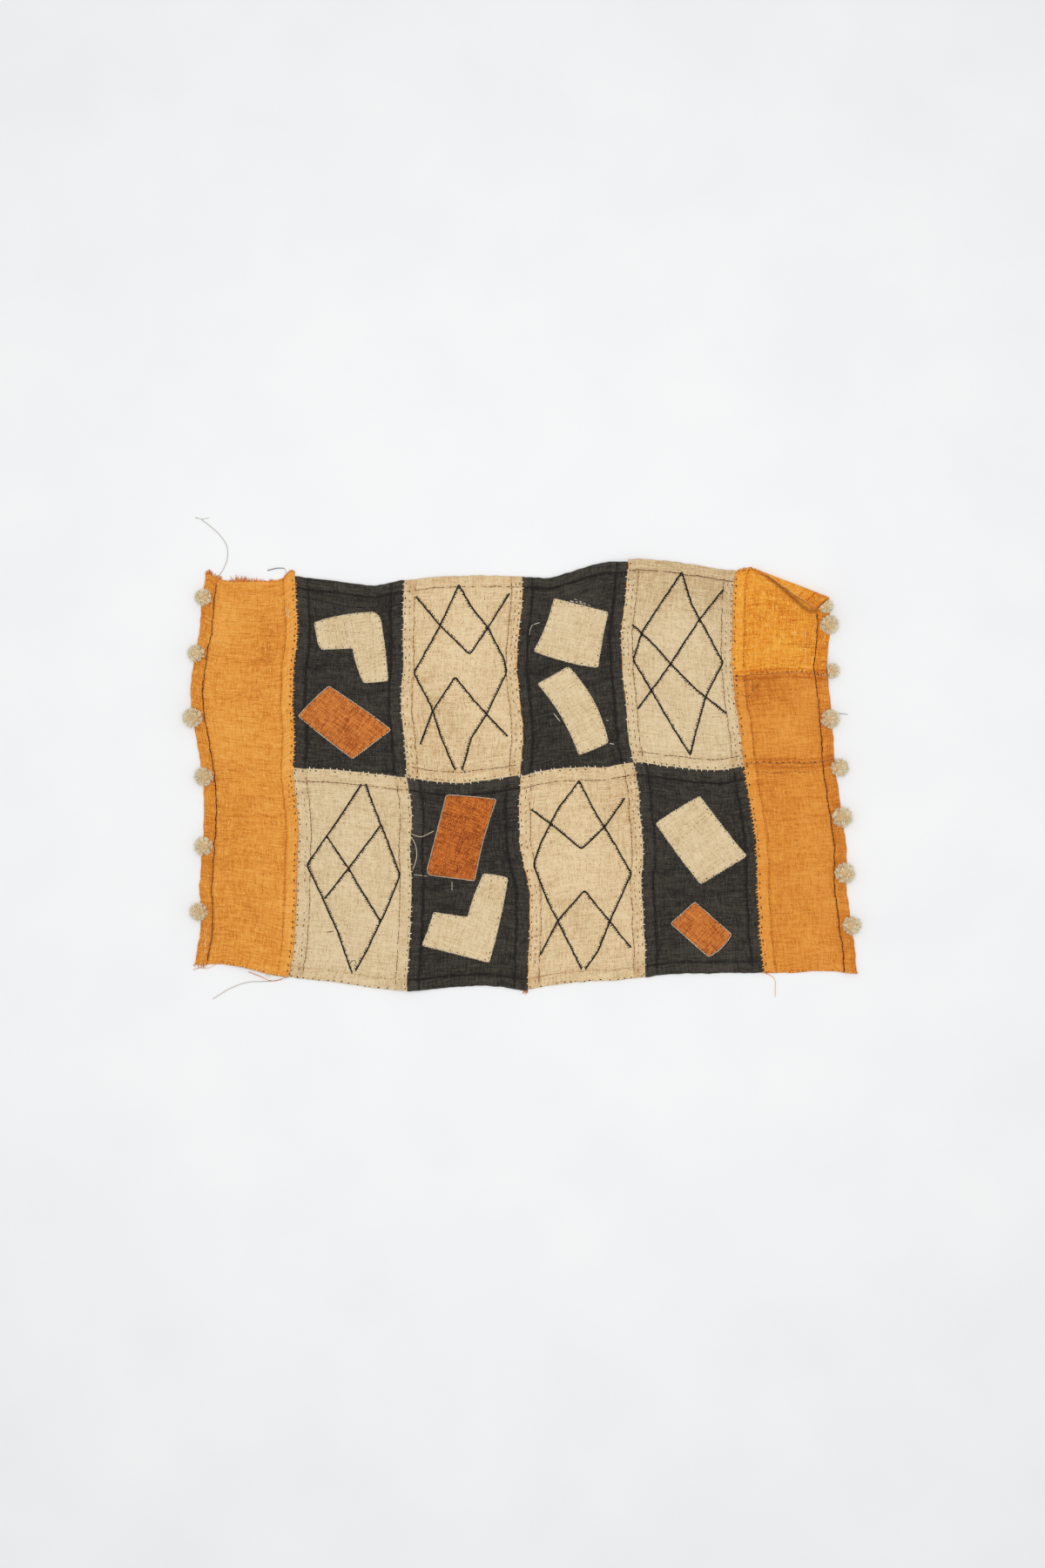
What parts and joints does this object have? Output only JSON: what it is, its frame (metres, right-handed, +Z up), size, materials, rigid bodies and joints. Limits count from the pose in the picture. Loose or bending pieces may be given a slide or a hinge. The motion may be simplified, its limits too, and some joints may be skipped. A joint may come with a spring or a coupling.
{
  "type": "kuba raffia cloth",
  "caption": "Pieced raffia cloth lying flat, with dark and cream panels between orange bands, applied patches, pompom edging and one folded corner.",
  "frame": {"origin": "middle of the bottom of the cloth's bounding box, without the loose thread tails", "axes": "+X to the right along the length, +Y towards the upper row of panels, +Z up out of the cloth's face"},
  "size_m": [0.9324, 0.6608, 0.0255],
  "materials": {
    "orange_raffia": "dyed plain-weave raffia, matt, with uneven threads",
    "cream_raffia": "undyed plain-weave raffia, matt, with uneven threads",
    "dark_raffia": "black-brown dyed plain-weave raffia, matt, with paler worn threads",
    "rust_raffia": "rust-red dyed plain-weave raffia, matt",
    "cut_pile": "cut raffia fibre, slightly glossy on each strand",
    "raffia_thread": "loose raffia thread"
  },
  "bodies": {
    "root": {"band_left": "orange_raffia", "band_right_top": "orange_raffia", "band_right_middle": "orange_raffia", "band_right_bottom": "orange_raffia", "panel_1_upper": "dark_raffia", "panel_1_lower": "cream_raffia", "panel_2_upper": "cream_raffia", "panel_2_lower": "dark_raffia", "panel_3_upper": "dark_raffia", "panel_3_lower": "cream_raffia", "panel_4_upper": "cream_raffia", "panel_4_lower": "dark_raffia", "patch_1_cream_crook": "cream_raffia", "patch_2_rust_block": "rust_raffia", "patch_3_rust_block": "rust_raffia", "patch_4_cream_crook": "cream_raffia", "patch_5_cream_block": "cream_raffia", "patch_6_cream_curl": "cream_raffia", "patch_7_cream_block": "cream_raffia", "patch_8_rust_block": "rust_raffia", "pompom_left_1": "cut_pile", "pompom_left_2": "cut_pile", "pompom_left_3": "cut_pile", "pompom_left_4": "cut_pile", "pompom_left_5": "cut_pile", "pompom_left_6": "cut_pile", "pompom_right_1": "cut_pile", "pompom_right_2": "cut_pile", "pompom_right_3": "cut_pile", "pompom_right_4": "cut_pile", "pompom_right_5": "cut_pile", "pompom_right_6": "cut_pile", "pompom_right_7": "cut_pile", "pompom_right_8": "cut_pile", "thread_top_left": "raffia_thread", "thread_bottom_left": "raffia_thread", "thread_bottom_right": "raffia_thread"}
  },
  "joints": []
}
